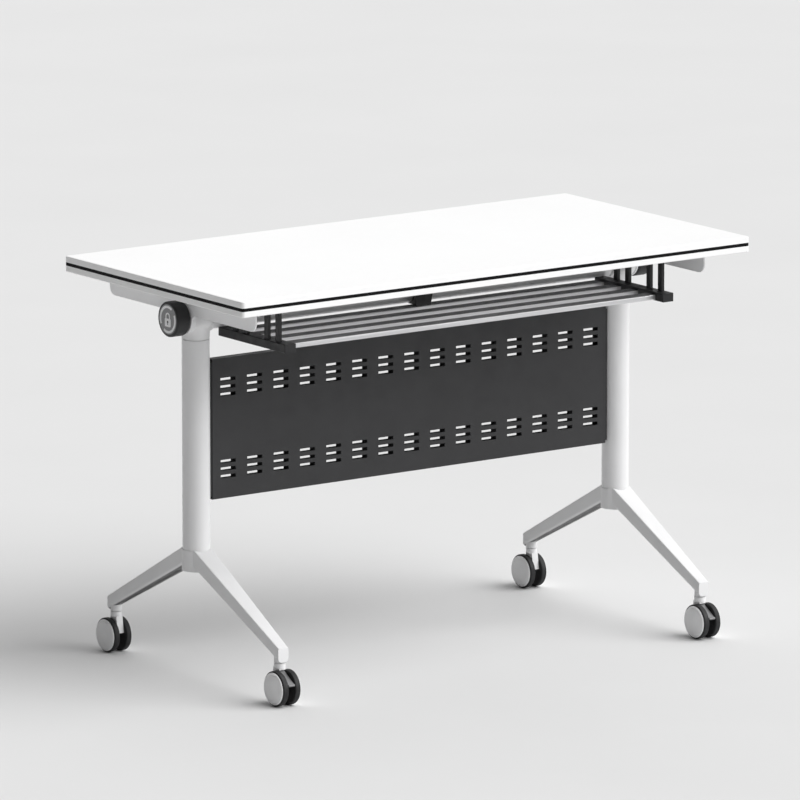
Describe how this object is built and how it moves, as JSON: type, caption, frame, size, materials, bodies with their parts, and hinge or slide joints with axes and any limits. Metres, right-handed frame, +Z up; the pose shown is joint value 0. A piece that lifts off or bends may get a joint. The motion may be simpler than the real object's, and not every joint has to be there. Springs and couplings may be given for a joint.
{
  "type": "folding desk",
  "caption": "Flip-top folding desk on casters: white top on a swivelling frame with lock knobs, slatted book shelf, slotted modesty panel and splayed legs.",
  "frame": {"origin": "on the floor under the middle of the desk", "axes": "+X along the desk's length, -Y towards the user, +Z up"},
  "size_m": [1.14, 0.6086, 0.75],
  "materials": {
    "white_melamine": "chipboard faced with white melamine",
    "white_edging": "satin edge band",
    "black_stripe": "satin",
    "silver_paint": "pale silver powder coat",
    "white_casting": "die casting in pale powder coat",
    "dark_grey_paint": "matt powder coat",
    "steel": "zinc plated",
    "pale_nylon": "plain",
    "black_plastic": "fine grain",
    "grey_plastic": "satin",
    "slat_aluminium": "satin anodised",
    "light_grey_plastic": "satin",
    "dark_grey_plastic": "satin",
    "disc_plastic": "satin",
    "black_rubber": "matt"
  },
  "bodies": {
    "frame": {"left_column": "silver_paint", "right_column": "silver_paint", "left_head": "white_casting", "right_head": "white_casting", "cross_tube": "silver_paint", "left_hub": "white_casting", "right_hub": "white_casting", "left_front_leg": "white_casting", "left_rear_leg": "white_casting", "right_front_leg": "white_casting", "right_rear_leg": "white_casting", "leg_bolts": "steel", "panel_front_skin": "dark_grey_paint", "panel_rear_skin": "dark_grey_paint", "panel_side_channels": "dark_grey_paint", "panel_screws": "steel", "pivot_shafts": "steel"},
    "top": {"desktop_board": "white_melamine", "edge_band": "white_edging", "edge_stripe": "black_stripe", "left_arm": "silver_paint", "right_arm": "silver_paint", "arm_bushes": "pale_nylon", "stop_pins": "steel", "top_screws": "steel", "left_shelf_end": "black_plastic", "right_shelf_end": "black_plastic", "shelf_slats": "slat_aluminium", "centre_saddle": "black_plastic"},
    "left_knob": {"left_knob": "black_plastic", "left_knob_plate": "grey_plastic"},
    "right_knob": {"right_knob": "black_plastic", "right_knob_plate": "grey_plastic"},
    "left_front_caster": {"left_front_caster_housing": "light_grey_plastic", "left_front_caster_pins": "steel"},
    "left_front_outer_wheel": {"left_front_outer_wheel_disc": "disc_plastic", "left_front_outer_wheel_tread": "black_rubber"},
    "left_front_inner_wheel": {"left_front_inner_wheel_disc": "disc_plastic", "left_front_inner_wheel_tread": "black_rubber"},
    "left_rear_caster": {"left_rear_caster_housing": "light_grey_plastic", "left_rear_caster_pins": "steel"},
    "left_rear_outer_wheel": {"left_rear_outer_wheel_disc": "disc_plastic", "left_rear_outer_wheel_tread": "black_rubber"},
    "left_rear_inner_wheel": {"left_rear_inner_wheel_disc": "disc_plastic", "left_rear_inner_wheel_tread": "black_rubber"},
    "left_brake": {"left_brake_pedal": "dark_grey_plastic"},
    "right_front_caster": {"right_front_caster_housing": "light_grey_plastic", "right_front_caster_pins": "steel"},
    "right_front_outer_wheel": {"right_front_outer_wheel_disc": "disc_plastic", "right_front_outer_wheel_tread": "black_rubber"},
    "right_front_inner_wheel": {"right_front_inner_wheel_disc": "disc_plastic", "right_front_inner_wheel_tread": "black_rubber"},
    "right_rear_caster": {"right_rear_caster_housing": "light_grey_plastic", "right_rear_caster_pins": "steel"},
    "right_rear_outer_wheel": {"right_rear_outer_wheel_disc": "disc_plastic", "right_rear_outer_wheel_tread": "black_rubber"},
    "right_rear_inner_wheel": {"right_rear_inner_wheel_disc": "disc_plastic", "right_rear_inner_wheel_tread": "black_rubber"},
    "right_brake": {"right_brake_pedal": "dark_grey_plastic"}
  },
  "joints": [
    {"name": "top_flip", "type": "hinge", "parent": "frame", "child": "top", "pos_m": [0, 0, 0.672], "axis": [-1, 0, 0], "range_deg": [0, 90]},
    {"name": "left_knob_turn", "type": "hinge", "parent": "frame", "child": "left_knob", "pos_m": [-0.5218, 0, 0.672], "axis": [-1, 0, 0], "range_deg": [0, 90]},
    {"name": "right_knob_turn", "type": "hinge", "parent": "frame", "child": "right_knob", "pos_m": [0.5218, 0, 0.672], "axis": [1, 0, 0], "range_deg": [0, 90]},
    {"name": "left_front_caster_swivel", "type": "hinge", "parent": "frame", "child": "left_front_caster", "pos_m": [-0.476, -0.264, 0.085], "axis": [0, 0, 1], "continuous": true},
    {"name": "left_front_outer_wheel_roll", "type": "hinge", "parent": "left_front_caster", "child": "left_front_outer_wheel", "pos_m": [-0.4897, -0.272, 0.0323], "axis": [1, 0, 0], "continuous": true},
    {"name": "left_front_inner_wheel_roll", "type": "hinge", "parent": "left_front_caster", "child": "left_front_inner_wheel", "pos_m": [-0.4623, -0.272, 0.0323], "axis": [1, 0, 0], "continuous": true},
    {"name": "left_rear_caster_swivel", "type": "hinge", "parent": "frame", "child": "left_rear_caster", "pos_m": [-0.476, 0.264, 0.085], "axis": [0, 0, 1], "continuous": true},
    {"name": "left_rear_outer_wheel_roll", "type": "hinge", "parent": "left_rear_caster", "child": "left_rear_outer_wheel", "pos_m": [-0.4897, 0.272, 0.0323], "axis": [1, 0, 0], "continuous": true},
    {"name": "left_rear_inner_wheel_roll", "type": "hinge", "parent": "left_rear_caster", "child": "left_rear_inner_wheel", "pos_m": [-0.4623, 0.272, 0.0323], "axis": [1, 0, 0], "continuous": true},
    {"name": "left_brake_press", "type": "hinge", "parent": "left_front_caster", "child": "left_brake", "pos_m": [-0.476, -0.2665, 0.056], "axis": [1, 0, 0], "range_deg": [0, 12]},
    {"name": "right_front_caster_swivel", "type": "hinge", "parent": "frame", "child": "right_front_caster", "pos_m": [0.476, -0.264, 0.085], "axis": [0, 0, 1], "continuous": true},
    {"name": "right_front_outer_wheel_roll", "type": "hinge", "parent": "right_front_caster", "child": "right_front_outer_wheel", "pos_m": [0.4897, -0.272, 0.0323], "axis": [1, 0, 0], "continuous": true},
    {"name": "right_front_inner_wheel_roll", "type": "hinge", "parent": "right_front_caster", "child": "right_front_inner_wheel", "pos_m": [0.4623, -0.272, 0.0323], "axis": [1, 0, 0], "continuous": true},
    {"name": "right_rear_caster_swivel", "type": "hinge", "parent": "frame", "child": "right_rear_caster", "pos_m": [0.476, 0.264, 0.085], "axis": [0, 0, 1], "continuous": true},
    {"name": "right_rear_outer_wheel_roll", "type": "hinge", "parent": "right_rear_caster", "child": "right_rear_outer_wheel", "pos_m": [0.4897, 0.272, 0.0323], "axis": [1, 0, 0], "continuous": true},
    {"name": "right_rear_inner_wheel_roll", "type": "hinge", "parent": "right_rear_caster", "child": "right_rear_inner_wheel", "pos_m": [0.4623, 0.272, 0.0323], "axis": [1, 0, 0], "continuous": true},
    {"name": "right_brake_press", "type": "hinge", "parent": "right_front_caster", "child": "right_brake", "pos_m": [0.476, -0.2665, 0.056], "axis": [1, 0, 0], "range_deg": [0, 12]}
  ]
}
